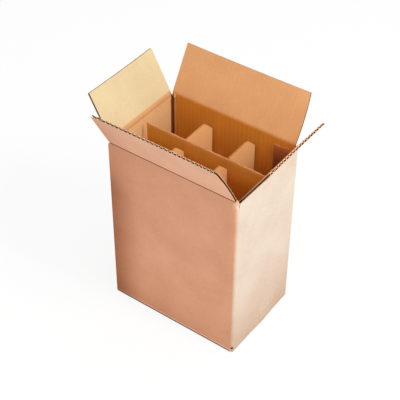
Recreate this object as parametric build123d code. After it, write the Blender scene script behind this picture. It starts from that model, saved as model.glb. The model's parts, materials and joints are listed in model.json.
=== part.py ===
from build123d import *
import os

# Corrugated shipping carton for six bottles, with a slotted divider insert.
# Millimetres, +Z up.  The origin is the middle of the underside, the front is -Y.
# The four top flaps stand open and are hinged along the outer face of their creases.

os.makedirs("parts", exist_ok=True)

# Carton
width = 250.0  # outside, along X
depth = 170.0  # outside, along Y
height = 337.0  # underside to the crease of the front and back flaps
board = 4.0  # corrugated board
corner_radius = 4.0  # outside of the folded vertical corners
corner_inside_radius = 1.0
bottom_radius = 2.0  # outside of the folded bottom edges
fold_clearance = 0.3  # between folded layers, and along each hinge line
slot_half_width = 5.0  # from a corner to the end of the flap beside it
slot_depth = 2.5  # how far a corner slot runs below the side flap creases
seam_gap = 1.0  # between the two flaps that meet in the middle
flap_end_gap = 1.0  # from the end of a bottom flap to the wall beside it
relief_width = 4.0  # die-cut hole at each bottom corner
relief_height = 6.0
relief_centre = 10.5  # above the underside

# Glued joint of the blank, inside the back wall at its right end
tab_width = 38.0
tab_thickness = 3.0
tab_top_drop = 5.5  # from the side flap creases down to the top of the tab
tab_bottom_rise = 6.0  # from the inside floor up to the bottom of the tab
tab_bevel = 7.0

# Open angle of each flap, measured outwards from upright
front_tilt = 27.9
right_tilt = 32.0
back_tilt = 29.8
left_tilt = 28.5

# Flutes of the board, seen in the flap edges
flute_pitch = 8.2
liner = 0.5
medium = 0.4
flute_tip_radius = 0.7
crush_length = 7.0  # flat, crushed band beside each flap crease
flute_margin = 3.0  # plain board at each end of a row of flutes

# Divider insert
divider_thickness = 3.0
long_play = 11.0  # the long divider is this much shorter than the inside
right_gap = 0.3  # the insert stands against the right wall
cross_play = 8.0  # the cross dividers are this much shorter than the inside
cross_spacing = 84.0  # between the two cross dividers
divider_clearance = 0.5  # under the closed side flaps
slot_clearance = 0.5  # each side, where the dividers cross
mouth_flare = 19.0  # cut corner in front of each cross divider's slot
mouth_bevel = 4.0  # smaller one behind it
shoulder_bevel = 21.0  # cut corners at the outer ends of the cross dividers

# Worked out from the above
side_crease = height - board - fold_clearance
flap_length = depth / 2 - seam_gap / 2
floor_height = 2 * board
inner_width = width - 2 * board
inner_depth = depth - 2 * board
long_length = inner_width - long_play
long_shift = inner_width / 2 - right_gap - long_length / 2
cross_length = inner_depth - cross_play
well_half = width / 2 - flap_length  # between the folded-in side bottom flaps
divider_height = side_crease - board - divider_clearance - floor_height


def span(x_low, x_high, y_low, y_high, z_low, z_high):
    """A block between two corners."""
    size = (x_high - x_low, y_high - y_low, z_high - z_low)
    middle = ((x_low + x_high) / 2, (y_low + y_high) / 2, (z_low + z_high) / 2)
    return Pos(*middle) * Box(*size)


def upright_prism(points, plane, reach):
    """A polygon drawn in a plane and extruded both ways from it."""
    outline = make_face(Polyline(*points, close=True))
    return extrude(plane * outline, amount=reach, both=True)


def crease_trim(crease, half_span, run_length):
    """The material above one wall's mitred top, for the wall on the +X side."""
    out = half_span + board
    top = height + board
    points = [
        (out, crease - fold_clearance / 2),
        (half_span, crease - fold_clearance / 2),
        (half_span - board, crease - board - fold_clearance / 2),
        (half_span - board - 1, crease - board - fold_clearance / 2),
        (half_span - board - 1, top),
        (out, top),
    ]
    return upright_prism(points, Plane.XZ, run_length / 2)


def make_walls():
    """Walls, bottom flaps and inside hollow, before the slots are cut."""
    shell = extrude(RectangleRounded(width, depth, corner_radius), amount=height)
    shell = fillet(shell.edges().group_by(Axis.Z)[0], radius=bottom_radius)
    cavity_plan = RectangleRounded(inner_width, inner_depth, corner_inside_radius)
    cavity = Pos(0, 0, floor_height) * extrude(cavity_plan, amount=height)
    return shell - cavity


def cut_bottom(carton):
    """The gaps between the two layers of bottom flaps."""
    half_x = inner_width / 2
    half_y = inner_depth / 2
    carton -= span(-well_half, well_half, -half_y, half_y, board, floor_height + 1)
    carton -= span(-half_x, half_x, -seam_gap / 2, seam_gap / 2, -1, board)
    for side in (-1, 1):
        ends = sorted((side * half_x, side * (half_x - flap_end_gap)))
        carton -= span(*ends, -half_y, half_y, -1, board)
        ends = sorted((side * half_y, side * (half_y - flap_end_gap)))
        for flank in (-1, 1):
            run = sorted((flank * well_half, flank * half_x))
            carton -= span(*run, *ends, board, floor_height + 1)
    return carton


def cut_top(carton):
    """Mitred wall tops along the creases, and the slots between the flaps."""
    carton -= crease_trim(side_crease, width / 2, depth + 2 * board)
    carton -= Rot(0, 0, 180) * crease_trim(side_crease, width / 2, depth + 2 * board)
    slot_floor = side_crease - slot_depth
    for turn in (90, 270):
        carton -= Rot(0, 0, turn) * crease_trim(height, depth / 2, width + 2 * board)
    for side in (-1, 1):
        for flank in (-1, 1):
            x_run = sorted((side * (width / 2 - slot_half_width), side * (width / 2 + 1)))
            y_run = sorted((flank * (depth / 2 - slot_half_width), flank * (depth / 2 + 1)))
            carton -= span(*x_run, *y_run, slot_floor, height + 1)
    return carton


def cut_relief_holes(carton):
    """A small upright slot through each bottom corner."""
    outline = SlotOverall(relief_height, relief_width, rotation=90)
    for side in (-1, 1):
        for flank in (-1, 1):
            heading = Vector(side, flank, 0)
            corner = (side * width / 2, flank * depth / 2, relief_centre)
            plane = Plane(origin=corner, x_dir=(-flank, side, 0), z_dir=heading)
            carton -= extrude(plane * outline, amount=2.5 * board, both=True)
    return carton


def make_tab():
    """The glue tab, flat against the inside of the back wall."""
    x_high = inner_width / 2
    x_low = x_high - tab_width
    z_low = floor_height + tab_bottom_rise
    z_high = side_crease - tab_top_drop
    points = [
        (x_high, z_low),
        (x_low, z_low + tab_bevel),
        (x_low, z_high - tab_bevel / 2),
        (x_high, z_high),
    ]
    outline = make_face(Polyline(*points, close=True))
    back_face = Plane(origin=(0, inner_depth / 2, 0), x_dir=(1, 0, 0), z_dir=(0, -1, 0))
    return extrude(back_face * outline, amount=tab_thickness)


def make_carton():
    carton = cut_bottom(make_walls())
    carton += make_tab()
    carton = cut_top(carton)
    return cut_relief_holes(carton)


def flute_channels(row_half, row_centre, length):
    """Open channels of the board, above and below its fluted medium.

    Drawn in section, X along the board and Y through it, then run along Z.
    """
    depth_inside = board - 2 * liner
    half_base = flute_pitch / 2 - medium
    count = int((2 * row_half - flute_pitch / 2) / flute_pitch)
    start = row_centre - (count - 0.5) * flute_pitch / 2
    shape = make_face(
        Polyline((-half_base, 0), (half_base, 0), (0, depth_inside - medium), close=True)
    )
    shape = fillet(shape.vertices().group_by(Axis.Y)[-1], radius=flute_tip_radius)
    channels = Sketch()
    for index in range(count):
        x_low = start + index * flute_pitch
        channels += Pos(x_low, liner) * shape
        channels += Pos(x_low + flute_pitch / 2, board - liner) * Rot(0, 0, 180) * shape
    return Pos(0, 0, crush_length) * extrude(channels, amount=length - crush_length + 1)


def flap_blank(left_end, right_end, left_taper, right_taper):
    """Flat outline of a flap, X along its crease and Z away from it."""
    straight = 0.25 * flap_length
    foot = fold_clearance / 2
    edges = [
        Line((left_end, foot), (right_end, foot)),
        Line((right_end, foot), (right_end, straight)),
    ]
    if right_taper:
        tip = (right_end - right_taper, flap_length)
        edges.append(TangentArc((right_end, straight), tip, tangent=(0, 1)))
    else:
        edges.append(Line((right_end, straight), (right_end, flap_length)))
    edges.append(
        Line((right_end - right_taper, flap_length), (left_end + left_taper, flap_length))
    )
    if left_taper:
        tip = (left_end + left_taper, flap_length)
        edges.append(TangentArc((left_end, straight), tip, tangent=(0, 1)))
    else:
        edges.append(Line((left_end, flap_length), (left_end, straight)))
    edges.append(Line((left_end, straight), (left_end, foot)))
    outline = Plane.XZ * make_face(Curve() + edges)
    return extrude(outline, amount=-board)


def make_flap(run, inset_left, inset_right, taper_left, taper_right):
    """An upright flap: outer face on Y = 0, crease along X, inner face on Y = board."""
    left_end = -run / 2 + inset_left
    right_end = run / 2 - inset_right
    flap = flap_blank(left_end, right_end, taper_left, taper_right)
    mitre = [
        (0, fold_clearance / 2),
        (board + 1, board + 1 + fold_clearance / 2),
        (board + 1, -1),
        (0, -1),
    ]
    flap -= upright_prism(mitre, Plane.YZ, run)
    row_left = left_end + taper_left + flute_margin
    row_right = right_end - taper_right - flute_margin
    row_half = (row_right - row_left) / 2
    row_centre = (row_right + row_left) / 2
    return flap - flute_channels(row_half, row_centre, flap_length)


def place_flap(flap, tilt, turn, reach, crease):
    """Open a flap outwards and set it on its side of the carton."""
    return Rot(0, 0, turn) * Pos(0, -reach, crease) * Rot(tilt, 0, 0) * flap


def make_flaps():
    inset = slot_half_width
    front = make_flap(width, inset, inset, 0, 9.0)
    right = make_flap(depth, inset, inset, 6.0, 0)
    back = make_flap(width, inset, inset, 4.0, 0)
    left = make_flap(depth, inset, inset + 3.0, 0, 0)
    return {
        "front_flap": place_flap(front, front_tilt, 0, depth / 2, height),
        "right_flap": place_flap(right, right_tilt, 90, width / 2, side_crease),
        "back_flap": place_flap(back, back_tilt, 180, depth / 2, height),
        "left_flap": place_flap(left, left_tilt, 270, width / 2, side_crease),
    }


def cross_positions():
    return [long_shift - cross_spacing / 2, long_shift + cross_spacing / 2]


def seat_height(x):
    """Top of the bottom flap under a cross divider: the side flaps lie on the long ones."""
    over_well = abs(x) + divider_thickness / 2 < well_half
    return board if over_well else floor_height


def make_long_divider():
    """Runs left to right and is slotted from below."""
    half_slot = divider_thickness / 2 + slot_clearance
    divider = span(
        long_shift - long_length / 2,
        long_shift + long_length / 2,
        -divider_thickness / 2,
        divider_thickness / 2,
        floor_height,
        floor_height + divider_height,
    )
    for x in cross_positions():
        divider -= span(
            x - half_slot,
            x + half_slot,
            -divider_thickness,
            divider_thickness,
            floor_height - 1,
            floor_height + (divider_height + slot_clearance) / 2,
        )
    return divider


def make_cross_divider(x):
    """Runs front to back, slotted from above with a flared mouth."""
    half = cross_length / 2
    half_slot = divider_thickness / 2 + slot_clearance
    points = []
    for side, mouth in ((1, mouth_bevel), (-1, mouth_flare)):
        run = [
            (side * half_slot, (divider_height - slot_clearance) / 2),
            (side * half_slot, divider_height - mouth),
            (side * (half_slot + mouth), divider_height),
            (side * (half - shoulder_bevel), divider_height),
            (side * half, divider_height - shoulder_bevel),
            (side * half, 0),
        ]
        points += run if side > 0 else run[::-1]
    divider = upright_prism(points, Plane.YZ, divider_thickness / 2)
    return Pos(x, 0, seat_height(x)) * divider


def make_parts():
    left_x, right_x = cross_positions()
    parts = {"carton": make_carton()}
    parts.update(make_flaps())
    parts["long_divider"] = make_long_divider()
    parts["cross_divider_left"] = make_cross_divider(left_x)
    parts["cross_divider_right"] = make_cross_divider(right_x)
    return parts


for name, part in make_parts().items():
    export_step(part, f"parts/{name}.step")
    print(name, len(part.solids()), "solid, volume", round(part.volume))
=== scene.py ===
import json
import math
import random

import bpy
from mathutils import Matrix, Vector, noise


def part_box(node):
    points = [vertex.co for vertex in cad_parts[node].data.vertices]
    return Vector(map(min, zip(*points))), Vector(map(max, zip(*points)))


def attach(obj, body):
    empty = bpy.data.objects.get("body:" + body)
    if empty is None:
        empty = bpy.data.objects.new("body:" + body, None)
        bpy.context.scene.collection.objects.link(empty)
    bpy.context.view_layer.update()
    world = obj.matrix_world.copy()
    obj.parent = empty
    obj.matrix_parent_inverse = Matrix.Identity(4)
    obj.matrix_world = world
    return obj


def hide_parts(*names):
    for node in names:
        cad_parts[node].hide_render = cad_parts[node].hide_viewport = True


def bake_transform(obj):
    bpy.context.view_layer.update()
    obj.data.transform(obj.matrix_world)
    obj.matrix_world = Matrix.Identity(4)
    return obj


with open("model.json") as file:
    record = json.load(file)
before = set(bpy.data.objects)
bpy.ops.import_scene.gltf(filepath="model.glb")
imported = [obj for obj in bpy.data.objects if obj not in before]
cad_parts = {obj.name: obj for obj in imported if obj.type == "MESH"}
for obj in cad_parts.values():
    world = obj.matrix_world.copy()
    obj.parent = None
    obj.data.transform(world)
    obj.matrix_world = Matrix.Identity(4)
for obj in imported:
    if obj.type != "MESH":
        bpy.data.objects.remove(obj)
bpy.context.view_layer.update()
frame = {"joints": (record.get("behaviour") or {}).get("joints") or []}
hinges = {joint["child"]: joint for joint in frame["joints"]}
print("frame loaded")

board = {
    "thickness": 0.004,
    "liner": 0.0005,
    "medium": 0.0007,
    "flutePitch": 0.0082,
    "fluteDip": 2.2,  # the crests are crushed wide, the dips stay narrow
    "columnsPerFlute": 4,
    "stepsPerWave": 12,
    "waveMargin": 0.003,  # plain board left at the ends of a row of flutes
    "band": 0.009,  # a flap's board runs this far down the wall below its crease
    "smoothAngle": math.radians(40),
}


# Small tools for the modelling

def deselectAll():
    if bpy.context.object and bpy.context.object.mode != "OBJECT":
        bpy.ops.object.mode_set(mode="OBJECT")
    bpy.ops.object.select_all(action="DESELECT")


def useOnly(piece):
    deselectAll()
    piece.select_set(True)
    bpy.context.view_layer.objects.active = piece


def settle(piece):
    useOnly(piece)
    bpy.ops.object.transform_apply(location=True, rotation=True, scale=True)


# Selects what passes the test and leaves the piece in edit mode
def pick(piece, kind, test):
    useOnly(piece)
    bpy.ops.object.mode_set(mode="EDIT")
    bpy.ops.mesh.select_mode(type=kind)
    bpy.ops.mesh.select_all(action="DESELECT")
    bpy.ops.object.mode_set(mode="OBJECT")
    mesh = piece.data
    if kind == "EDGE":
        for edge in mesh.edges:
            start, end = (mesh.vertices[index].co for index in edge.vertices)
            edge.select = test((start + end) / 2, (end - start).normalized())
    else:
        for face in mesh.polygons:
            face.select = test(face.center, face.normal)
    bpy.ops.object.mode_set(mode="EDIT")


def sliceAt(piece, normal, distances, where=None):
    for distance in distances:
        if where:
            pick(piece, "FACE", where)
        else:
            useOnly(piece)
            bpy.ops.object.mode_set(mode="EDIT")
            bpy.ops.mesh.select_all(action="SELECT")
        bpy.ops.mesh.bisect(plane_co=[distance * n for n in normal], plane_no=normal)
    bpy.ops.object.mode_set(mode="OBJECT")


def removeFaces(piece, test):
    pick(piece, "FACE", test)
    bpy.ops.mesh.delete(type="FACE")
    bpy.ops.object.mode_set(mode="OBJECT")


def moveEach(piece, change):
    for vertex in piece.data.vertices:
        vertex.co = change(vertex.co.copy())
    piece.data.update()


def applyModifier(piece, kind, **settings):
    useOnly(piece)
    modifier = piece.modifiers.new(kind.lower(), kind)
    for name, value in settings.items():
        setattr(modifier, name, value)
    bpy.ops.object.modifier_apply(modifier=modifier.name)


def smoothShade(piece):
    useOnly(piece)
    bpy.ops.object.shade_smooth_by_angle(angle=board["smoothAngle"])


def rename(piece, name):
    piece.name = name
    piece.data.name = name


# The materials read this, so that a bent flap keeps the tones it has at rest
def keepRestPlaces(piece):
    places = piece.data.attributes.new("restPlace", "FLOAT_VECTOR", "POINT")
    for vertex, place in zip(piece.data.vertices, places.data):
        place.vector = vertex.co


def joinPieces(pieces, name):
    deselectAll()
    for piece in pieces:
        piece.select_set(True)
    bpy.context.view_layer.objects.active = pieces[0]
    bpy.ops.object.join()
    joined = bpy.context.object
    rename(joined, name)
    return joined


# An upright grid along X, facing -Y where facing is below zero and +Y otherwise
def addSheet(left, right, bottom, top, depth, facing, columns=1):
    turn = math.pi / 2 if facing < 0 else -math.pi / 2
    deselectAll()
    bpy.ops.mesh.primitive_grid_add(
        x_subdivisions=columns,
        y_subdivisions=1,
        size=1,
        location=((left + right) / 2, depth, (bottom + top) / 2),
        rotation=(turn, 0, 0),
    )
    sheet = bpy.context.object
    sheet.scale = (right - left, top - bottom, 1)
    settle(sheet)
    return sheet


def evenRows(first, spacing, count):
    return [first + spacing * step for step in range(count)]


def smoothstep(value, start, end):
    share = min(max((value - start) / (end - start), 0), 1)
    return share * share * (3 - 2 * share)


# Finishes

def tone(red, green, blue):
    return [((c / 255 + 0.055) / 1.055) ** 2.4 for c in (red, green, blue)] + [1.0]


paper = {
    "roughness": 0.8,
    "specular": 0.2,
    "blotchScale": 14.0,
    "fleckScale": 260.0,
    "fleckShare": 0.4,
    "fibreScale": 1500.0,
    "fibreShare": 0.25,
    "fibreStretch": 0.25,
    "deepBelow": 0.36,  # where the mixed noise turns from the deep tone to the pale one
    "paleAbove": 0.64,
    "bump": 0.25,
    "bumpHeight": 0.0003,
    "stripeTint": (0.72, 0.64, 0.5, 1),  # painted shade: stripes for the washboard ripples that the flutes press into the inner liners
    "stripeRange": (0.338, 0.330),
    "stripeAbove": 0.25,  # share of the stripes that is left above the creases
}
outerLiner = {
    "pale": (222, 165, 131),
    "deep": (206, 146, 113),
    "shifts": [  # where the liner takes another tone, between two planes
        # Painted shade: darker towards the left end of the front and over the left wall, darker still
        # low on the left, and a little darker towards the foot all round
        {"tone": (202, 142, 109), "ranges": [("X", -0.045, -0.135)]},
        {"tone": (170, 107, 73), "ranges": [("X", -0.060, -0.135), ("Z", 0.330, 0.230)]},
        {"tone": (202, 143, 108), "ranges": [("Z", 0.12, -0.02)]},
        # Painted light: paler above the creases, on the flaps' outer faces, which face the lamps more
        # than the walls
        {"tone": (226, 174, 143), "ranges": [("Z", 0.3365, 0.3385)]},
        # Painted light: the right wall and its flap are paler outside, on the side the key lamp lights
        {"tone": (200, 184, 166), "ranges": [("X", 0.1196, 0.1247)]},
        # Painted shade: pinker towards the foot of the right wall, where less light falls
        {"tone": (208, 143, 110), "ranges": [("X", 0.1196, 0.1247), ("Z", 0.24, -0.02)]},
        # Painted light: a paler patch at the top of the front right fold, where the lit right side
        # turns the corner
        {
            "tone": (226, 178, 146),
            "ranges": [
                ("X", 0.1140, 0.1180),
                ("Y", -0.0780, -0.0815),
                ("Z", 0.318, 0.326),
                ("Z", 0.3345, 0.3325),
            ],
        },
        # Painted highlight: a paler band low on the front
        {"tone": (240, 190, 160), "ranges": [("Y", -0.0840, -0.0845), ("Z", 0.0085, 0.0060)]},
        # Painted contact shadow: a dark band at the foot of the front
        {
            "tone": (70, 32, 24),
            "ranges": [("X", 0.1220, 0.1180), ("Y", -0.0805, -0.0815), ("Z", 0.0048, 0.0032)],
        },
    ],
}
innerLiner = {
    "pale": (222, 167, 116),
    "deep": (208, 152, 103),
    "flutes": 0.22,
    "shifts": [
        # Painted shade: the front and back walls turn a deeper orange below the creases, away from the
        # back left fold
        {"tone": (220, 146, 53), "ranges": [("Z", 0.3405, 0.3345), ("X", -0.1148, -0.1120)]},
        # Painted highlight: a pale strip on the bead beside the back left fold
        {
            "tone": (250, 215, 165),
            "ranges": [("X", -0.1120, -0.1148), ("X", -0.1180, -0.1170), ("Z", 0.338, 0.334)],
        },
        # Painted shade: darker further down inside
        {"tone": (226, 150, 90), "ranges": [("Z", 0.29, 0.20)]},
        # Painted shade: a dark groove in the back left fold, below the crease
        {"tone": (120, 62, 26), "ranges": [("Z", 0.338, 0.334), ("X", -0.1172, -0.1182)]},
    ],
}
sideInnerLiner = {
    "pale": (230, 172, 118),
    "deep": (216, 157, 105),
    "flutes": 0.06,
    "shifts": [
        # Painted shade: darker further down inside
        {"tone": (226, 150, 80), "ranges": [("Z", 0.30, 0.20)]},
        # Painted light: the left wall's inside is paler below its crease, where the lamps from the
        # right fall on it
        {"tone": (238, 195, 139), "ranges": [("X", -0.112, -0.1190), ("Z", 0.3325, 0.3285)]},
        # Painted shadow: the foot of the left flap takes the wall's tone, for the right flap's shadow
        # across it
        {
            "tone": (203, 154, 104),
            "ranges": [("X", -0.118, -0.1205), ("X", -0.1250, -0.1236), ("Z", 0.3285, 0.3325)],
        },
        # Painted light: the left flap above that is paler, as if lit by the key lamp
        {"tone": (204, 186, 146), "ranges": [("X", -0.1236, -0.1250), ("Z", 0.331, 0.334)]},
        # Painted shade: a dark groove in the back left fold, below the crease
        {
            "tone": (120, 62, 26),
            "ranges": [("X", -0.119, -0.1195), ("Y", 0.0770, 0.0780), ("Z", 0.336, 0.333)],
        },
    ],
}
# Painted shade: the tab is darker than the walls' inner liner, and darker still lower down, for the
# shade of the back right corner it stands in
tabLinerShaded = {
    "pale": (196, 122, 72),
    "deep": (176, 102, 56),
    "shifts": [{"tone": (143, 71, 42), "ranges": [("Z", 0.34, 0.28)]}],
}
boardEdge = {"pale": (232, 190, 156), "deep": (206, 158, 122), "shifts": []}
# Painted shade: the fluted medium and the liners' hidden faces are a dark brown for the shade inside
# the flute channels
fluteShade = {"pale": (150, 104, 72), "deep": (112, 72, 46), "shifts": []}
dividerBoard = {
    "pale": (236, 176, 116),
    "deep": (218, 156, 96),
    "flutes": 0.10,
    "shifts": [
        # Painted shade: the long divider turns a deeper orange below its top and darker further down,
        # in the shade of the front wall and flap
        {"tone": (217, 153, 62), "ranges": [("Z", 0.329, 0.320)]},
        {"tone": (214, 140, 70), "ranges": [("Z", 0.315, 0.28)]},
    ],
}
# Painted light: the cross dividers are paler than the long divider, for the lamps that fall on their
# faces
crossBoardLit = {"pale": (246, 194, 134), "deep": (234, 178, 116), "shifts": []}
dividerEdge = {"pale": (204, 144, 86), "deep": (160, 104, 56), "shifts": []}
# Painted shade: a darker band along each crease, where the groove takes shade
creaseShade = {"tone": (150, 92, 62), "below": (-0.0018, -0.0006), "above": (0.0014, 0.0004)}


def addNode(tree, kind, place, **values):
    node = tree.nodes.new(kind)
    node.location = place
    for name, value in values.items():
        if name in node.inputs:
            node.inputs[name].default_value = value
        else:
            setattr(node, name, value)
    return node


def addRamp(tree, place, stops):
    ramp = addNode(tree, "ShaderNodeValToRGB", place)
    for element, (position, colour) in zip(ramp.color_ramp.elements, stops):
        element.position = position
        element.color = colour
    return ramp


def addNoise(tree, place, spot, **values):
    noiseNode = addNode(tree, "ShaderNodeTexNoise", spot, **values)
    tree.links.new(place, noiseNode.inputs["Vector"])
    return noiseNode.outputs["Fac"]


def mixValues(tree, spot, share, first, second):
    mix = addNode(tree, "ShaderNodeMix", spot, data_type="FLOAT")
    mix.inputs[0].default_value = share
    tree.links.new(first, mix.inputs[2])
    tree.links.new(second, mix.inputs[3])
    return mix.outputs[0]


def multiplyValues(tree, spot, first, second):
    both = addNode(tree, "ShaderNodeMath", spot, operation="MULTIPLY")
    tree.links.new(first, both.inputs[0])
    tree.links.new(second, both.inputs[1])
    return both.outputs[0]


# Runs smoothly from one value to another while a coordinate runs between two planes
def rangeShare(tree, spot, source, planes, values=(0, 1)):
    part = addNode(tree, "ShaderNodeMapRange", spot, interpolation_type="SMOOTHSTEP")
    part.inputs["From Min"].default_value = planes[0]
    part.inputs["From Max"].default_value = planes[1]
    part.inputs["To Min"].default_value = values[0]
    part.inputs["To Max"].default_value = values[1]
    tree.links.new(source, part.inputs["Value"])
    return part.outputs["Result"]


def multiplyTint(tree, spot, colour, tint, share):
    mix = addNode(tree, "ShaderNodeMix", spot, data_type="RGBA", blend_type="MULTIPLY")
    mix.inputs[7].default_value = tint
    tree.links.new(share, mix.inputs[0])
    tree.links.new(colour, mix.inputs[6])
    return mix.outputs[2]


# Board of two tones with blotches, flecks and fibres, shifted where its look says so; the shifts and
# the stripes are painted light and shade
def kraftMaterial(name, look, across="X"):
    material = bpy.data.materials.new(name)
    material.use_nodes = True
    tree = material.node_tree
    link = tree.links.new
    shader = tree.nodes["Principled BSDF"]
    shader.inputs["Roughness"].default_value = paper["roughness"]
    shader.inputs["Specular IOR Level"].default_value = paper["specular"]
    rest = addNode(tree, "ShaderNodeAttribute", (-1500, 0), attribute_name="restPlace")
    place = rest.outputs["Vector"]
    stretch = addNode(tree, "ShaderNodeMapping", (-1350, -200))
    along = paper["fibreStretch"]
    stretch.inputs["Scale"].default_value = (along, 1, 1) if across == "X" else (1, along, 1)
    link(place, stretch.inputs["Vector"])
    blotch = addNoise(tree, place, (-1200, 350), Scale=paper["blotchScale"], Detail=4.0, Roughness=0.6)
    fleck = addNoise(tree, place, (-1200, 100), Scale=paper["fleckScale"], Detail=4.0, Roughness=0.65)
    fibre = addNoise(
        tree, stretch.outputs["Vector"], (-1200, -200), Scale=paper["fibreScale"], Detail=2.0
    )
    flecked = mixValues(tree, (-950, 250), paper["fleckShare"], blotch, fleck)
    mottle = mixValues(tree, (-800, 150), paper["fibreShare"], flecked, fibre)
    pale = tone(*look["pale"])
    deep = tone(*look["deep"])
    ramp = addRamp(tree, (-600, 150), ((paper["deepBelow"], deep), (paper["paleAbove"], pale)))
    link(mottle, ramp.inputs["Fac"])
    colour = ramp.outputs["Color"]
    parts = addNode(tree, "ShaderNodeSeparateXYZ", (-1200, 600))
    link(place, parts.inputs[0])
    base = [(light + dark) / 2 for light, dark in zip(pale, deep)]
    for index, shift in enumerate(look["shifts"]):
        x = 220 * index - 300
        y = 200 * index + 400
        share = None
        for axis, start, end in shift["ranges"]:
            part = rangeShare(tree, (x - 600, y + 100), parts.outputs[axis], (start, end))
            share = multiplyValues(tree, (x - 300, y + 100), share, part) if share else part
        tint = [new / old for new, old in zip(tone(*shift["tone"]), base)]
        colour = multiplyTint(tree, (x, y), colour, tint, share)
    # Painted shade: stripes across the flutes for the washboard ripples, weaker above the creases
    if "flutes" in look:
        wave = addNode(tree, "ShaderNodeTexWave", (-1200, -450), bands_direction=across)
        wave.inputs["Scale"].default_value = 2 * math.pi / (20 * board["flutePitch"])
        link(place, wave.inputs["Vector"])
        strengths = (paper["stripeAbove"] * look["flutes"], look["flutes"])
        depth = rangeShare(tree, (-950, -450), parts.outputs["Z"], paper["stripeRange"], strengths)
        share = multiplyValues(tree, (-700, -450), wave.outputs["Fac"], depth)
        colour = multiplyTint(tree, (-100, 500), colour, paper["stripeTint"], share)
    link(colour, shader.inputs["Base Color"])
    bump = addNode(
        tree, "ShaderNodeBump", (-300, -250), Strength=paper["bump"], Distance=paper["bumpHeight"]
    )
    link(mottle, bump.inputs["Height"])
    link(bump.outputs["Normal"], shader.inputs["Normal"])
    return material


finishes = {
    "edge": kraftMaterial("cut_edge", boardEdge),
    "flute": kraftMaterial("fluted_medium", fluteShade),
    "tab": kraftMaterial("glued_tab_liner", tabLinerShaded),
    "divider": kraftMaterial("divider_board", dividerBoard),
    "crossDivider": kraftMaterial("cross_divider_board", crossBoardLit, "Y"),
    "dividerEdge": kraftMaterial("divider_edge", dividerEdge),
}
for across, side, flapName, inside in (
    ("X", "front_back", "front_flap", innerLiner),
    ("Y", "sides", "left_flap", sideInnerLiner),
):
    creaseHeight = hinges[flapName]["pos_m"][2]
    ranges = [
        ("Z", creaseHeight + start, creaseHeight + end)
        for start, end in (creaseShade["below"], creaseShade["above"])
    ]
    # The painted crease shade joins the outer liner's shifts
    line = {"tone": creaseShade["tone"], "ranges": ranges}
    outerWithCreaseShade = dict(outerLiner, shifts=outerLiner["shifts"] + [line])
    finishes["outer", across] = kraftMaterial("outer_liner_" + side, outerWithCreaseShade, across)
    finishes["inner", across] = kraftMaterial("inner_liner_" + side, inside, across)
print("finishes done")


def giveMaterials(piece, names):
    piece.data.materials.clear()
    for name in names:
        piece.data.materials.append(finishes[name])


# Walls and flaps, which are one folded sheet

walls = {
    "cornerRadius": 0.0046,
    "bottomRadius": 0.002,
    "slabRounding": 0.0004,
    "slotDrop": 0.0025,  # corner slots below the side creases
    "endGap": 0.001,  # from a bottom flap's end to the wall beside it
    "seamGap": 0.001,
    "washboard": 0.00022,
    "bead": 0.0034,  # the inner liner bulges beside each vertical fold
    "beadAt": 0.0050,
    "beadWidth": 0.0018,
    "beadRows": (0.0008, 0.0020, 0.0032, 0.0042, 0.0050, 0.0058, 0.0066, 0.0074, 0.0084),
    "sideBead": 0.3,  # share of it on the two side walls
    "softCorner": 0.0016,  # the front right fold is crushed towards its top
    "softRange": (0.08, 0.32),
    "softIn": 0.003,
    "softReach": 0.008,
    "reliefLow": 0.0075,
    "reliefHigh": 0.0135,
    "reliefRows": (0.0088, 0.0122),
    "reliefSteps": ((0.3, 0.003), (0.75, 0.0018)),  # half heights, lower away from the fold
    "wallRows": (0.018, 0.0062, 49),  # first height, spacing and count
    "wrinkleRows": (0.016, 0.002, 13),
    "longEnd": 0.120,  # half the length of a front or back flap
    "sideEnd": 0.080,  # and of a side one
    "floorCut": 0.04,
    "unevenness": 0.0004,
    "unevenScale": 14,
    "calmBelow": (0.004, 0.03),  # the walls are flat at their two ends
    "calmAbove": (0.300, 0.322),
    "frontFace": 0.0845,  # beyond these a point is on the outside of a wall
    "sideFace": 0.1245,
    "dentFace": 0.1240,
    "slack": 0.0003,
    "onFace": 0.0005,  # a point this near the inner face is on it
    "offFold": 0.003,  # and is clear of the fold beside it
    "dent": 0.0014,  # the foot of the right wall stands out a little
    "dentAt": (0.004, 0.006),
    "dentReach": 0.022,
}

# Flaps, each with its crease and the top of the wall under it

flapShapes = {
    "front_flap": {"taperLeft": 0.0, "taperRight": 0.009, "bow": 0.0008},
    "right_flap": {"taperLeft": 0.006, "taperRight": 0.0, "bow": 0.0004},
    "back_flap": {"taperLeft": 0.004, "taperRight": 0.0, "bow": 0.0008},
    "left_flap": {"taperLeft": 0.0, "taperRight": 0.0, "bow": 0.0006},
}
creaseRows = (-0.005, -0.0035, -0.0022, -0.0011, 0.0, 0.0011, 0.0022, 0.0035, 0.005)
flapRows = (0.012, 0.022, 0.034, 0.046, 0.058, 0.069, 0.078)
crease = {
    "pressed": 0.0003,  # how far the inner liner is pushed towards the outer one
    "pressedWidth": 0.0028,
    "groove": 0.0009,  # and the outer one towards the inner
    "grooveWidth": 0.0010,
    "rippleDrop": 0.002,  # the inner liner ripples most this far below the crease
    "rippleWidth": 0.005,
    "turnRange": 0.0045,  # the board turns from wall to flap over this, each way
    "skin": 0.0012,  # and the outer liner, no deeper than this, turns at once
}
taper = {
    "straight": 0.25,  # share of a flap's length before its end starts to curve in
    "reach": 0.05,
    "bowDrop": 0.7,  # a bowed flap is this much of its bow shorter in the middle
}


# X runs along the crease and Y towards the inside of the carton
def hingeFrame(name):
    joint = hinges[name]
    along = Vector(joint["axis"])
    up = Vector((0, 0, 1))
    inwards = up.cross(along)
    place = Matrix((along, inwards, up)).transposed().to_4x4()
    place.translation = Vector(joint["pos_m"])
    return place


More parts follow.
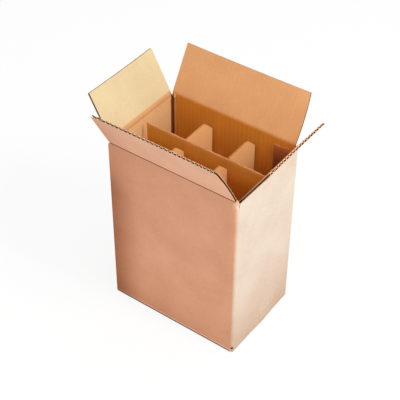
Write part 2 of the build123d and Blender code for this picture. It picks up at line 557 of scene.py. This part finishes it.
# A flap's two ends along its crease, its open angle and its length
def flapSizes(name):
    place = hingeFrame(name)
    low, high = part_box(name)
    corners = [place.inverted() @ corner for corner in (low, high)]
    left = min(corner.x for corner in corners)
    right = max(corner.x for corner in corners)
    out = -min(corner.y for corner in corners)
    rise = max(corner.z for corner in corners)
    thickness = board["thickness"]
    tilt = math.atan2(out, rise)  # first guess, the board's own thickness left out
    for _ in range(8):
        tilt = math.atan2(out, rise - thickness * math.sin(tilt))
    return left, right, tilt, out / math.sin(tilt)


def addLiner(left, right, length, inner):
    depth = board["thickness"] if inner else 0.0
    columns = round((right - left) / board["flutePitch"] * board["columnsPerFlute"])
    sheet = addSheet(left, right, -board["band"], length, depth, 1 if inner else -1, columns)
    sliceAt(sheet, (0, 0, 1), creaseRows + flapRows)
    return sheet


# The fluted paper between the liners: one wave, repeated
def addMedium(left, right, length):
    pitch = board["flutePitch"]
    gap = board["thickness"] - 2 * board["liner"]
    count = int((right - left - board["waveMargin"]) / pitch)
    start = (left + right - count * pitch) / 2
    wave = addSheet(start, start + pitch, creaseRows[-1], length, 0, -1, board["stepsPerWave"])
    sliceAt(wave, (0, 0, 1), flapRows)

    def ripple(spot):
        phase = (1 + math.cos(2 * math.pi * (spot.x - start) / pitch)) / 2
        height = 1 - 2 * phase ** board["fluteDip"]
        spot.y = board["thickness"] / 2 + (gap - board["medium"]) / 2 * height
        return spot

    moveEach(wave, ripple)
    applyModifier(
        wave,
        "ARRAY",
        count=count,
        use_relative_offset=False,
        use_constant_offset=True,
        constant_offset_displace=(pitch, 0, 0),
        use_merge_vertices=True,
    )
    return wave


def addFlap(name, shape):
    left, right, tilt, length = flapSizes(name)
    across = "X" if abs(hinges[name]["axis"][0]) > 0.5 else "Y"
    slots = (("outer", across), ("inner", across), "edge", "flute")
    outer = addLiner(left, right, length, False)
    inner = addLiner(left, right, length, True)
    medium = addMedium(left, right, length)
    half = crease["turnRange"]

    def pressOuter(spot):
        spot.y += crease["groove"] * math.exp(-((spot.z / crease["grooveWidth"]) ** 2))
        return spot

    def pressInner(spot):
        wave = math.cos(2 * math.pi * spot.x / board["flutePitch"])
        away = (spot.z + crease["rippleDrop"]) / crease["rippleWidth"]
        spot.y -= crease["pressed"] * math.exp(-((spot.z / crease["pressedWidth"]) ** 2))
        spot.y -= walls["washboard"] * wave * math.exp(-(away ** 2))
        return spot

    moveEach(outer, pressOuter)
    moveEach(inner, pressInner)
    # The medium and the liners' hidden faces take the dark flute finish, painted shade in the channels
    for sheet, slot, flip in ((outer, 0, -1), (inner, 1, -1), (medium, 3, 0)):
        giveMaterials(sheet, slots)
        for face in sheet.data.polygons:
            face.material_index = slot
        applyModifier(
            sheet,
            "SOLIDIFY",
            thickness=board["medium"] if sheet == medium else board["liner"],
            offset=flip,
            material_offset=3 - slot,
            material_offset_rim=2 - slot,
        )
    flap = joinPieces([outer, inner, medium], name + "_board")

    def form(spot):
        share = min(max(spot.z / length, 0), 1)
        arc = max(share - taper["straight"], 0) / (1 - taper["straight"])
        reach = taper["reach"]
        if shape["taperRight"]:
            near = smoothstep(spot.x, right - reach, right)
            spot.x -= shape["taperRight"] * arc ** 2 * near
        if shape["taperLeft"]:
            near = smoothstep(-spot.x, -left - reach, -left)
            spot.x += shape["taperLeft"] * arc ** 2 * near
        along = (2 * spot.x - left - right) / (right - left)
        spot.y += shape["bow"] * (1 - along ** 2) * share
        spot.z -= taper["bowDrop"] * shape["bow"] * (1 - along ** 2) * share
        if spot.y > crease["skin"]:
            turned = tilt * smoothstep(spot.z, -half, half)
        else:
            turned = tilt if spot.z > 0 else 0
        return Matrix.Rotation(turned, 3, "X") @ spot

    moveEach(flap, form)
    flap.matrix_world = hingeFrame(name)
    settle(flap)
    smoothShade(flap)
    keepRestPlaces(flap)
    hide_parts(name)
    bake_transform(flap)


for flapName, flapShape in flapShapes.items():
    addFlap(flapName, flapShape)
print("flaps done")


# Walls with their bottom flaps, and the tab

wrinkles = (  # on the right wall: two ends (Y, Z) and a depth
    ((-0.007, 0.034), (-0.004, 0.008), 0.0011),
    ((0.020, 0.026), (0.009, 0.007), 0.0012),
    ((0.026, 0.038), (0.029, 0.022), 0.0008),
)
wrinkleShape = {
    "width": 0.0016,
    "ridge": 0.5,
    "ridgeAt": 0.0045,
    "ridgeWidth": 0.0030,
    "fade": (0.002, 0.006),  # none of them reaches the bottom fold
}


# How deep a wrinkle is at a spot: a valley with a low ridge on each side of it
def wrinkle(spot, start, end):
    path = Vector((end[0] - start[0], end[1] - start[1]))
    reach = Vector((spot.y - start[0], spot.z - start[1]))
    share = min(max(reach.dot(path) / path.length_squared, 0), 1)
    away = (reach - path * share).length
    valley = math.exp(-((away / wrinkleShape["width"]) ** 2))
    ridge = math.exp(-(((away - wrinkleShape["ridgeAt"]) / wrinkleShape["ridgeWidth"]) ** 2))
    return valley - wrinkleShape["ridge"] * ridge


def addWalls():
    low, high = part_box("carton")
    sideCrease = hinges["right_flap"]["pos_m"][2]
    longCrease = hinges["front_flap"]["pos_m"][2]
    top = sideCrease - walls["slotDrop"]
    size = Vector((high.x - low.x, high.y - low.y, top))
    thickness = board["thickness"]
    deselectAll()
    bpy.ops.mesh.primitive_cube_add(size=1, location=(0, 0, top / 2))
    shell = bpy.context.object
    shell.scale = size
    settle(shell)
    rename(shell, "carton_walls")
    removeFaces(shell, lambda spot, normal: normal.z > 0.9)
    pick(shell, "EDGE", lambda spot, along: abs(along.z) > 0.9)
    bpy.ops.mesh.bevel(offset=walls["cornerRadius"], segments=6)
    pick(shell, "EDGE", lambda spot, along: spot.z < 1e-5)
    bpy.ops.mesh.bevel(offset=walls["bottomRadius"], segments=3)
    innerX = high.x - thickness
    innerY = high.y - thickness
    seam = walls["seamGap"] / 2

    def standing(spot, normal):
        return abs(normal.z) < 0.1

    def facingY(spot, normal):
        return abs(normal.y) > 0.95

    def facingX(spot, normal):
        return abs(normal.x) > 0.95

    def underneath(spot, normal):
        return normal.z < -0.9

    rows = [walls["reliefLow"], *walls["reliefRows"], walls["reliefHigh"]]
    rows += evenRows(*walls["wallRows"])
    rows += [sideCrease - board["band"], longCrease - board["band"]]
    sliceAt(shell, (0, 0, 1), rows, standing)
    sliceAt(shell, (0, 0, 1), evenRows(*walls["wrinkleRows"]), facingX)
    edges = {name: flapSizes(name)[:2] for name in flapShapes}
    step = board["flutePitch"] / board["columnsPerFlute"]
    across = [step * index for index in range(-57, 58)]
    beads = [side * (innerX - inset) for side in (-1, 1) for inset in walls["beadRows"]]
    ends = [-walls["longEnd"], walls["longEnd"]]
    sliceAt(shell, (1, 0, 0), sorted(across + ends + beads), facingY)
    across = [step * index for index in range(-37, 38)]
    beads = [side * (innerY - inset) for side in (-1, 1) for inset in walls["beadRows"]]
    ends = [-walls["sideEnd"], walls["sideEnd"], -edges["left_flap"][1], -edges["left_flap"][0]]
    sliceAt(shell, (0, 1, 0), sorted(set(across + ends + beads)), facingX)
    gap = walls["endGap"]
    cut = walls["floorCut"]
    cuts = [-innerX, -innerX + gap, -2 * cut, -cut, 0, cut, 2 * cut, innerX - gap, innerX]
    sliceAt(shell, (1, 0, 0), cuts, underneath)
    sliceAt(shell, (0, 1, 0), (-innerY, -cut, -seam, seam, cut, innerY), underneath)

    def inSeam(spot, normal):
        return underneath(spot, normal) and abs(spot.y) < seam and abs(spot.x) < innerX

    def inEndGap(spot, normal):
        atEnd = innerX - gap < abs(spot.x) < innerX
        return underneath(spot, normal) and atEnd and abs(spot.y) < innerY

    def inNotch(spot, normal):  # where a flap's own board takes the wall's place
        if facingY(spot, normal):
            return abs(spot.x) < walls["longEnd"] and spot.z > longCrease - board["band"]
        if facingX(spot, normal):
            start, end = edges["right_flap"]
            if spot.x < 0:
                start, end = -edges["left_flap"][1], -edges["left_flap"][0]
            return start < spot.y < end and spot.z > sideCrease - board["band"]
        return False

    def inRelief(spot, normal):  # the die-cut hole in each bottom corner
        if not standing(spot, normal):
            return False
        skew = abs(abs(normal.x) - abs(normal.y))
        middle = (walls["reliefLow"] + walls["reliefHigh"]) / 2
        for limit, halfHeight in walls["reliefSteps"]:
            if skew < limit:
                return abs(spot.z - middle) < halfHeight
        return False

    for test in (inSeam, inEndGap, inNotch, inRelief):
        removeFaces(shell, test)
    giveMaterials(
        shell,
        [("outer", "X"), ("inner", "X"), "edge", ("outer", "Y"), ("inner", "Y"), "edge", "flute"],
    )
    for face in shell.data.polygons:
        face.material_index = 3 if abs(face.normal.x) > 0.72 else 0
    applyModifier(
        shell,
        "SOLIDIFY",
        thickness=thickness,
        offset=-1,
        use_even_offset=True,
        material_offset=1,
        material_offset_rim=2,
    )

    for face in shell.data.polygons:  # the holes' rims take the dark flute finish, painted shade in the holes
        onFold = abs(face.center.x) > innerX - 0.001 and abs(face.center.y) > innerY - 0.001
        if face.material_index in (2, 5) and onFold and face.center.z < 0.02:
            face.material_index = 6

    def bulge(near):
        return math.exp(-(((near - walls["beadAt"]) / walls["beadWidth"]) ** 2))

    def uneven(spot):
        fade = smoothstep(spot.z, *walls["calmBelow"]) * (1 - smoothstep(spot.z, *walls["calmAbove"]))
        push = walls["unevenness"] * noise.noise(spot * walls["unevenScale"]) * fade
        insideX = abs(spot.x) < innerX + walls["slack"]
        insideY = abs(spot.y) < innerY + walls["slack"]
        inside = insideX and insideY and spot.z > thickness + walls["slack"]
        wave = walls["washboard"] * fade if inside else 0
        nearX = innerX - abs(spot.x)
        nearY = innerY - abs(spot.y)
        onLong = nearY < walls["onFace"] and nearX > walls["offFold"]
        onSide = nearX < walls["onFace"] and nearY > walls["offFold"]
        if onLong or not inside and abs(spot.y) > walls["frontFace"]:
            wave *= math.cos(2 * math.pi * spot.x / board["flutePitch"])
            bead = walls["bead"] * bulge(nearX) if inside else 0
            spot.y += math.copysign(push - wave - bead, spot.y)
        elif onSide or not inside and abs(spot.x) > walls["sideFace"]:
            wave *= math.cos(2 * math.pi * spot.y / board["flutePitch"])
            bead = walls["sideBead"] * walls["bead"] * bulge(nearY) if inside else 0
            spot.x += math.copysign(push - wave - bead, spot.x)
        softX = innerX + walls["softIn"]
        softY = innerY + walls["softIn"]
        corner = math.hypot(softX - spot.x, softY + spot.y) / walls["softReach"]
        soft = walls["softCorner"] * smoothstep(spot.z, *walls["softRange"]) * math.exp(-(corner ** 2))
        if not inside:
            spot.x -= soft
            spot.y += soft
            if spot.x > walls["dentFace"]:
                y, z = walls["dentAt"]
                away = math.hypot(spot.y - y, spot.z - z) / walls["dentReach"]
                spot.x += walls["dent"] * math.exp(-(away ** 2))
                for start, end, deep in wrinkles:
                    rise = smoothstep(spot.z, *wrinkleShape["fade"])
                    spot.x -= deep * wrinkle(spot, start, end) * rise
        return spot

    moveEach(shell, uneven)
    smoothShade(shell)
    keepRestPlaces(shell)
    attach(shell, "carton")
    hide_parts("carton")


# A block of the carton's board, rounded and then cut into more columns and rows
def addSlab(name, low, high, finish, cuts):
    deselectAll()
    middle = [(a + b) / 2 for a, b in zip(low, high)]
    bpy.ops.mesh.primitive_cube_add(size=1, location=middle)
    slab = bpy.context.object
    slab.scale = [b - a for a, b in zip(low, high)]
    settle(slab)
    rename(slab, name)
    pick(slab, "EDGE", lambda spot, along: True)
    bpy.ops.mesh.bevel(offset=walls["slabRounding"], segments=2)
    for axis, count in enumerate(cuts):
        normal = [1.0 if axis == index else 0.0 for index in range(3)]
        step = (high[axis] - low[axis]) / (count + 1)
        sliceAt(slab, normal, [low[axis] + step * (index + 1) for index in range(count)])
    giveMaterials(slab, [finish])
    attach(slab, "carton")
    return slab


def addBottomSideFlaps():
    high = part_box("carton")[1]
    thickness = board["thickness"]
    innerX = high.x - thickness
    innerY = high.y - thickness
    inset = high.x - flapSizes("front_flap")[3]
    for side, name in ((-1, "bottom_flap_left"), (1, "bottom_flap_right")):
        ends = sorted((side * innerX, side * inset))
        flap = addSlab(
            name,
            (ends[0], -innerY + walls["endGap"], thickness),
            (ends[1], innerY - walls["endGap"], 2 * thickness),
            ("inner", "Y"),
            (10, 20, 0),
        )
        smoothShade(flap)
        keepRestPlaces(flap)


tab = {
    "width": 0.038,
    "thickness": 0.003,
    "topDrop": 0.0055,
    "bottom": 0.014,
    "slope": 0.0035,  # its top falls this far towards its free edge
    "slopeRun": 0.02,
    "sideGap": 0.0003,
    "backGap": 0.0001,
}


def addTab():
    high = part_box("carton")[1]
    innerX = high.x - board["thickness"]
    innerY = high.y - board["thickness"]
    top = hinges["right_flap"]["pos_m"][2] - tab["topDrop"]
    piece = addSlab(
        "glue_tab",
        (innerX - tab["width"], innerY - tab["thickness"], tab["bottom"]),
        (innerX - tab["sideGap"], innerY - tab["backGap"], top),
        "tab",
        (8, 0, 30),
    )

    def lean(spot):
        share = (innerX - spot.x) / tab["width"]
        run = tab["slopeRun"]
        if spot.z > top - run:
            spot.z -= tab["slope"] * share * (spot.z - top + run) / run
        return spot

    moveEach(piece, lean)
    smoothShade(piece)
    keepRestPlaces(piece)


torn = {
    "width": 0.0092,
    "height": 0.0115,
    "thickness": 0.0007,
    "sunk": 0.0008,  # its foot is this far down in the corner of the walls
    "inset": 0.0032,
    "turn": math.radians(40),
    "rows": (0.25, 0.5, 0.75, 0.9),
    "narrowing": 0.86,
    "skew": 0.0009,
    "lean": 0.0010,
    "droop": 0.3,
}


def addTornCorner():
    low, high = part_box("carton")
    foot = hinges["right_flap"]["pos_m"][2] - walls["slotDrop"] - torn["sunk"]
    half = torn["width"] / 2
    tip = addSheet(-half, half, foot, foot + torn["height"], 0, -1, 4)
    rename(tip, "corner_tear")
    sliceAt(tip, (0, 0, 1), [foot + torn["height"] * share for share in torn["rows"]])

    def narrow(spot):
        share = (spot.z - foot) / torn["height"]
        spot.x *= 1 - share * torn["narrowing"]
        spot.x -= torn["skew"] * share
        spot.y -= torn["lean"] * share ** 2
        spot.z -= torn["droop"] * abs(spot.x) * share
        return spot

    moveEach(tip, narrow)
    giveMaterials(tip, ["edge"])
    applyModifier(tip, "SOLIDIFY", thickness=torn["thickness"], offset=0)
    corner = Vector((high.x - torn["inset"], low.y + torn["inset"], 0))
    tip.matrix_world = Matrix.Translation(corner) @ Matrix.Rotation(torn["turn"], 4, "Z")
    settle(tip)
    keepRestPlaces(tip)
    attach(tip, "carton")


addWalls()
addTornCorner()
addBottomSideFlaps()
addTab()
print("walls done")


# Dividers

dividers = {
    "slotPlay": 0.0005,
    "mouthFlare": 0.019,
    "mouthBevel": 0.004,
    "shoulder": 0.021,
    "longColumns": 56,
    "crossColumns": 40,
    "lowRows": (0.04, 0.08, 0.12),
    "highRows": (0.2, 0.24, 0.28),
    "topRows": (0.31, 0.325),
    "longFray": 0.0009,  # how deep the worn top edges are, at most
    "leftFray": 0.0004,
    "rightFray": 0.0018,
}


def finishDivider(sheet, name, thickness, finish):
    rename(sheet, name + "_board")
    giveMaterials(sheet, [finish, finish, "dividerEdge"])
    applyModifier(
        sheet,
        "SOLIDIFY",
        thickness=thickness,
        offset=0,
        use_even_offset=True,
        material_offset=1,
        material_offset_rim=2,
    )
    smoothShade(sheet)
    keepRestPlaces(sheet)
    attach(sheet, "carton")
    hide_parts(name)


def addLongDivider():
    low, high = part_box("long_divider")
    sheet = addSheet(low.x, high.x, low.z, high.z, 0, -1, dividers["longColumns"])
    thickness = high.y - low.y
    half = thickness / 2 + dividers["slotPlay"]
    middle = (low.z + high.z) / 2 + dividers["slotPlay"] / 2
    crossings = []
    for name in ("cross_divider_left", "cross_divider_right"):
        crossLow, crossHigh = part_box(name)
        crossings.append((crossLow.x + crossHigh.x) / 2)
    for spot in crossings:
        sliceAt(sheet, (1, 0, 0), (spot - half, spot + half))
    rows = [*dividers["lowRows"], middle, *dividers["highRows"], *dividers["topRows"]]
    sliceAt(sheet, (0, 0, 1), rows)

    def inSlot(spot, normal):
        return spot.z < middle and any(abs(spot.x - crossing) < half for crossing in crossings)

    removeFaces(sheet, inSlot)
    wear = random.Random(4)

    def fray(spot):
        if spot.z > high.z - 1e-5 and abs(spot.x) < high.x - 0.002:
            spot.z -= wear.random() ** 3 * dividers["longFray"]
        return spot

    moveEach(sheet, fray)
    finishDivider(sheet, "long_divider", thickness, "divider")


# Drawn along X and then turned to run front to back
def addCrossDivider(name, ragged):
    low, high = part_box(name)
    x = (low.x + high.x) / 2
    thickness = high.x - low.x
    half = thickness / 2 + dividers["slotPlay"]
    flare = dividers["mouthFlare"]
    bevel = dividers["mouthBevel"]
    shoulder = dividers["shoulder"]
    middle = (low.z + high.z) / 2 - dividers["slotPlay"] / 2
    sheet = addSheet(low.y, high.y, low.z, high.z, 0, -1, dividers["crossColumns"])
    front = -half - flare
    back = half + bevel
    sliceAt(sheet, (1, 0, 0), (front, -half, half, back))
    rows = [*dividers["lowRows"], middle, *dividers["highRows"], high.z - shoulder, high.z - bevel]
    sliceAt(sheet, (0, 0, 1), rows)
    removeFaces(sheet, lambda spot, normal: spot.z > middle and abs(spot.x) < half)

    def cutCorner(at, lean, start, end, bottom):
        def inside(spot, normal):
            return start < spot.x < end and spot.z > bottom

        pick(sheet, "FACE", inside)
        bpy.ops.mesh.bisect(plane_co=(at, 0, high.z), plane_no=(lean, 0, 1), clear_outer=True)
        bpy.ops.object.mode_set(mode="OBJECT")

    cutCorner(front, 1, front, -half, middle)
    cutCorner(back, -1, half, back, middle)
    cutCorner(low.y + shoulder, -1, low.y, front, low.z)
    cutCorner(high.y - shoulder, 1, back, high.y, low.z)
    wear = random.Random(7)

    def fray(spot):
        if spot.z > high.z - 1e-5 and spot.x > back + 0.001:
            spot.z -= wear.random() * ragged
        return spot

    moveEach(sheet, fray)
    sheet.matrix_world = Matrix.Translation((x, 0, 0)) @ Matrix.Rotation(math.pi / 2, 4, "Z")
    settle(sheet)
    finishDivider(sheet, name, thickness, "crossDivider")


addLongDivider()
addCrossDivider("cross_divider_left", dividers["leftFray"])
addCrossDivider("cross_divider_right", dividers["rightFray"])
print("dividers done")


# Camera, light and floor

cameraSpot = {
    "lookAt": (-0.0044, 0.0, 0.2158),
    "azimuth": 35.36,  # degrees
    "elevation": 41.53,
    "roll": 0.58,
    "distance": 1.7535,
    "lens": 95.8,  # millimetres on a 36 mm sensor
}
lamps = {
    "key_lamp": {"place": (2.1, 0.05, 0.885), "lookAt": (0, 0, 0.36), "size": 0.08, "power": 9.5},
    "fill_lamp": {"place": (1.12, -0.06, 1.68), "lookAt": (0, 0, 0.3), "size": 0.5, "power": 17.5},
}
studio = {
    "floorSize": 12,
    "floorTone": 0.85,
    "floorGlow": 0.85,  # how much of the floor's own shading is hidden from the camera
    "worldLight": 0.88,
}


def addCamera():
    data = bpy.data.cameras.new("camera")
    data.lens = cameraSpot["lens"]
    camera = bpy.data.objects.new("camera", data)
    bpy.context.scene.collection.objects.link(camera)
    turn = (
        Matrix.Rotation(math.radians(cameraSpot["azimuth"]), 4, "Z")
        @ Matrix.Rotation(math.radians(90 - cameraSpot["elevation"]), 4, "X")
        @ Matrix.Rotation(math.radians(cameraSpot["roll"]), 4, "Z")
    )
    back = turn @ Vector((0, 0, cameraSpot["distance"]))
    camera.matrix_world = Matrix.Translation(Vector(cameraSpot["lookAt"]) + back) @ turn
    bpy.context.scene.camera = camera


def addLamp(name, lamp):
    data = bpy.data.lights.new(name, "AREA")
    data.shape = "DISK"
    data.size = lamp["size"]
    data.energy = lamp["power"]
    light = bpy.data.objects.new(name, data)
    bpy.context.scene.collection.objects.link(light)
    aim = Vector(lamp["lookAt"]) - Vector(lamp["place"])
    turn = aim.to_track_quat("-Z", "Y").to_matrix().to_4x4()
    light.matrix_world = Matrix.Translation(lamp["place"]) @ turn


# The floor glows for the camera, so that it looks white and still takes a soft shadow
def addFloor():
    deselectAll()
    bpy.ops.mesh.primitive_plane_add(size=studio["floorSize"], location=(0, 0, -0.0003))
    floor = bpy.context.object
    floor.name = "floor"
    material = bpy.data.materials.new("pale_floor")
    material.use_nodes = True
    tree = material.node_tree
    shader = tree.nodes["Principled BSDF"]
    shader.inputs["Base Color"].default_value = [studio["floorTone"]] * 3 + [1]
    shader.inputs["Roughness"].default_value = 0.9
    glow = addNode(tree, "ShaderNodeEmission", (0, -300))
    rays = addNode(tree, "ShaderNodeLightPath", (-300, 300))
    seen = addNode(tree, "ShaderNodeMath", (-250, 300), operation="MAXIMUM")
    seenToo = addNode(tree, "ShaderNodeMath", (-150, 300), operation="MAXIMUM")
    share = addNode(tree, "ShaderNodeMath", (-50, 300), operation="MULTIPLY")
    share.inputs[1].default_value = studio["floorGlow"]
    mix = addNode(tree, "ShaderNodeMixShader", (250, 0))
    link = tree.links.new
    link(rays.outputs["Is Camera Ray"], seen.inputs[0])
    link(rays.outputs["Is Glossy Ray"], seen.inputs[1])
    link(seen.outputs[0], seenToo.inputs[0])
    link(rays.outputs["Is Transmission Ray"], seenToo.inputs[1])
    link(seenToo.outputs[0], share.inputs[0])
    link(share.outputs[0], mix.inputs["Fac"])
    link(shader.outputs[0], mix.inputs[1])
    link(glow.outputs[0], mix.inputs[2])
    link(mix.outputs[0], tree.nodes["Material Output"].inputs["Surface"])
    floor.data.materials.append(material)


def setWorld():
    world = bpy.data.worlds.new("studio")
    bpy.context.scene.world = world
    world.use_nodes = True
    background = world.node_tree.nodes["Background"]
    background.inputs["Color"].default_value = (1, 1, 1, 1)
    background.inputs["Strength"].default_value = studio["worldLight"]


addCamera()
for lampName, lamp in lamps.items():
    addLamp(lampName, lamp)
addFloor()
setWorld()
bpy.context.scene.view_settings.view_transform = "Standard"
print("camera, light and floor done")
